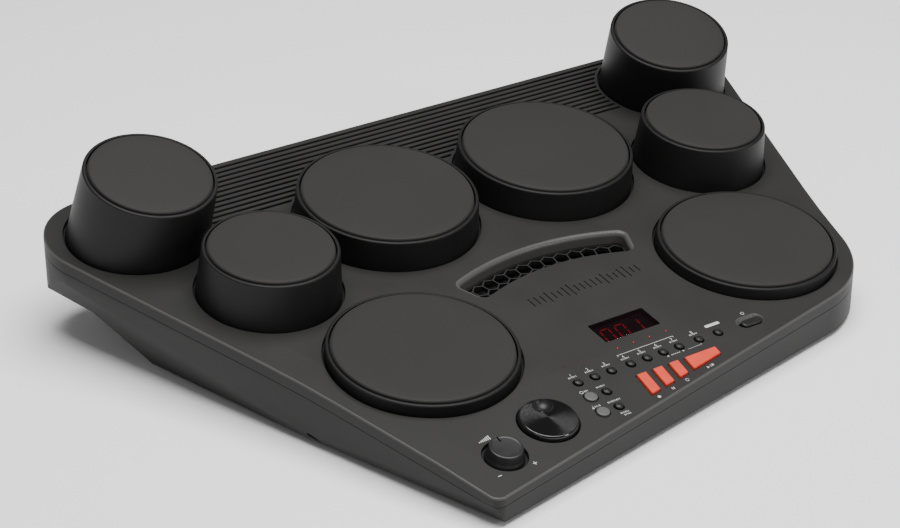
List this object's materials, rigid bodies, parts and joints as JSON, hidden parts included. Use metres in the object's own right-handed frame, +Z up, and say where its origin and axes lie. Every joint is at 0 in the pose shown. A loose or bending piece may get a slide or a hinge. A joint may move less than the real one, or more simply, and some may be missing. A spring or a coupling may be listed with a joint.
{
  "type": "electronic drum pad",
  "caption": "Table-top electronic drum pad: wedge case with round tilted rubber pads, slanted control panel, display, dial, knob and rear sockets.",
  "frame": {"origin": "middle of the bottom of the object's box, on the surface it stands on", "axes": "+Z up, +Y towards the back, +X to the player's right, so the player faces +Y"},
  "size_m": [0.6024, 0.412, 0.1383],
  "materials": {
    "case_plastic": "fine moulded grain, charcoal",
    "tower_plastic": "fine moulded grain, charcoal",
    "pad_rubber": "matt soft rubber, dark grey",
    "orange_plastic": "satin, coral orange",
    "grey_plastic": "satin, mid grey",
    "button_plastic": "satin, black",
    "gloss_plastic": "polished, black",
    "smoked_window": "smoked, glossy",
    "circuit_board": "green lacquer",
    "sensor_steel": "plain sheet",
    "speaker_cone": "black paper cone in a steel basket",
    "foot_rubber": "matt rubber"
  },
  "bodies": {
    "case": {"upper_case": "case_plastic", "lower_case": "case_plastic", "port_grille": "case_plastic", "battery_box": "case_plastic", "socket_panel": "case_plastic", "display_window": "smoked_window", "display_module": "gloss_plastic", "panel_board": "circuit_board", "main_board": "circuit_board", "speaker_left": "speaker_cone", "speaker_right": "speaker_cone", "pad_tower_tall_left": "tower_plastic", "rubber_pad_tall_left": "pad_rubber", "sensor_plate_tall_left": "sensor_steel", "pad_tower_tall_right": "tower_plastic", "rubber_pad_tall_right": "pad_rubber", "sensor_plate_tall_right": "sensor_steel", "pad_tower_side_left": "tower_plastic", "rubber_pad_side_left": "pad_rubber", "sensor_plate_side_left": "sensor_steel", "pad_tower_side_right": "tower_plastic", "rubber_pad_side_right": "pad_rubber", "sensor_plate_side_right": "sensor_steel", "pad_tower_centre_left": "tower_plastic", "rubber_pad_centre_left": "pad_rubber", "sensor_plate_centre_left": "sensor_steel", "pad_tower_centre_right": "tower_plastic", "rubber_pad_centre_right": "pad_rubber", "sensor_plate_centre_right": "sensor_steel", "pad_tower_front_left": "tower_plastic", "rubber_pad_front_left": "pad_rubber", "sensor_plate_front_left": "sensor_steel", "pad_tower_front_right": "tower_plastic", "rubber_pad_front_right": "pad_rubber", "sensor_plate_front_right": "sensor_steel", "rubber_foot_1": "foot_rubber", "rubber_foot_2": "foot_rubber", "rubber_foot_3": "foot_rubber", "rubber_foot_4": "foot_rubber"},
    "function_button_1": {"function_button_1": "button_plastic"},
    "function_button_2": {"function_button_2": "button_plastic"},
    "function_button_3": {"function_button_3": "button_plastic"},
    "function_button_4": {"function_button_4": "button_plastic"},
    "function_button_5": {"function_button_5": "button_plastic"},
    "function_button_6": {"function_button_6": "button_plastic"},
    "function_button_7": {"function_button_7": "button_plastic"},
    "function_button_8": {"function_button_8": "button_plastic"},
    "function_button_9": {"function_button_9": "button_plastic"},
    "click_button": {"click_button": "button_plastic"},
    "tempo_button": {"tempo_button": "button_plastic"},
    "kit_button": {"kit_button": "grey_plastic"},
    "song_button": {"song_button": "grey_plastic"},
    "orange_button_1": {"orange_button_1": "orange_plastic"},
    "orange_button_2": {"orange_button_2": "orange_plastic"},
    "orange_button_3": {"orange_button_3": "orange_plastic"},
    "orange_button_4": {"orange_button_4": "orange_plastic"},
    "power_button": {"power_button": "button_plastic"},
    "volume_knob": {"volume_knob": "button_plastic"},
    "jog_dial": {"jog_dial": "gloss_plastic"},
    "battery_cover": {"battery_cover": "case_plastic"}
  },
  "joints": [
    {"name": "function_button_1_press", "type": "slide", "parent": "case", "child": "function_button_1", "axis": [0, 0.1771, -0.9842], "range_m": [0, 0.001], "stiffness_N_per_m": 400, "springref_m": -0.0008},
    {"name": "function_button_2_press", "type": "slide", "parent": "case", "child": "function_button_2", "axis": [0, 0.1771, -0.9842], "range_m": [0, 0.001], "stiffness_N_per_m": 400, "springref_m": -0.0008},
    {"name": "function_button_3_press", "type": "slide", "parent": "case", "child": "function_button_3", "axis": [0, 0.1771, -0.9842], "range_m": [0, 0.001], "stiffness_N_per_m": 400, "springref_m": -0.0008},
    {"name": "function_button_4_press", "type": "slide", "parent": "case", "child": "function_button_4", "axis": [0, 0.1771, -0.9842], "range_m": [0, 0.001], "stiffness_N_per_m": 400, "springref_m": -0.0008},
    {"name": "function_button_5_press", "type": "slide", "parent": "case", "child": "function_button_5", "axis": [0, 0.1771, -0.9842], "range_m": [0, 0.001], "stiffness_N_per_m": 400, "springref_m": -0.0008},
    {"name": "function_button_6_press", "type": "slide", "parent": "case", "child": "function_button_6", "axis": [0, 0.1771, -0.9842], "range_m": [0, 0.001], "stiffness_N_per_m": 400, "springref_m": -0.0008},
    {"name": "function_button_7_press", "type": "slide", "parent": "case", "child": "function_button_7", "axis": [0, 0.1771, -0.9842], "range_m": [0, 0.001], "stiffness_N_per_m": 400, "springref_m": -0.0008},
    {"name": "function_button_8_press", "type": "slide", "parent": "case", "child": "function_button_8", "axis": [0, 0.1771, -0.9842], "range_m": [0, 0.001], "stiffness_N_per_m": 400, "springref_m": -0.0008},
    {"name": "function_button_9_press", "type": "slide", "parent": "case", "child": "function_button_9", "axis": [0, 0.1771, -0.9842], "range_m": [0, 0.001], "stiffness_N_per_m": 400, "springref_m": -0.0008},
    {"name": "click_button_press", "type": "slide", "parent": "case", "child": "click_button", "axis": [0, 0.1771, -0.9842], "range_m": [0, 0.001], "stiffness_N_per_m": 400, "springref_m": -0.0008},
    {"name": "tempo_button_press", "type": "slide", "parent": "case", "child": "tempo_button", "axis": [0, 0.1771, -0.9842], "range_m": [0, 0.001], "stiffness_N_per_m": 400, "springref_m": -0.0008},
    {"name": "kit_button_press", "type": "slide", "parent": "case", "child": "kit_button", "axis": [0, 0.1771, -0.9842], "range_m": [0, 0.001], "stiffness_N_per_m": 400, "springref_m": -0.0008},
    {"name": "song_button_press", "type": "slide", "parent": "case", "child": "song_button", "axis": [0, 0.1771, -0.9842], "range_m": [0, 0.001], "stiffness_N_per_m": 400, "springref_m": -0.0008},
    {"name": "orange_button_1_press", "type": "slide", "parent": "case", "child": "orange_button_1", "axis": [0, 0.1771, -0.9842], "range_m": [0, 0.001], "stiffness_N_per_m": 400, "springref_m": -0.0008},
    {"name": "orange_button_2_press", "type": "slide", "parent": "case", "child": "orange_button_2", "axis": [0, 0.1771, -0.9842], "range_m": [0, 0.001], "stiffness_N_per_m": 400, "springref_m": -0.0008},
    {"name": "orange_button_3_press", "type": "slide", "parent": "case", "child": "orange_button_3", "axis": [0, 0.1771, -0.9842], "range_m": [0, 0.001], "stiffness_N_per_m": 400, "springref_m": -0.0008},
    {"name": "orange_button_4_press", "type": "slide", "parent": "case", "child": "orange_button_4", "axis": [0, 0.1771, -0.9842], "range_m": [0, 0.001], "stiffness_N_per_m": 400, "springref_m": -0.0008},
    {"name": "power_button_press", "type": "slide", "parent": "case", "child": "power_button", "axis": [0, 0.1771, -0.9842], "range_m": [0, 0.001], "stiffness_N_per_m": 400, "springref_m": -0.0008},
    {"name": "volume_turn", "type": "hinge", "parent": "case", "child": "volume_knob", "pos_m": [-0.1531, -0.1737, 0.02771], "axis": [0, -0.1771, 0.9842], "range_deg": [-140, 140]},
    {"name": "dial_turn", "type": "hinge", "parent": "case", "child": "jog_dial", "pos_m": [-0.1085, -0.1596, 0.03025], "axis": [0, -0.1771, 0.9842], "continuous": true},
    {"name": "battery_cover_lift_off", "type": "slide", "parent": "case", "child": "battery_cover", "axis": [0, 0, -1], "range_m": [0, 0.03]}
  ]
}
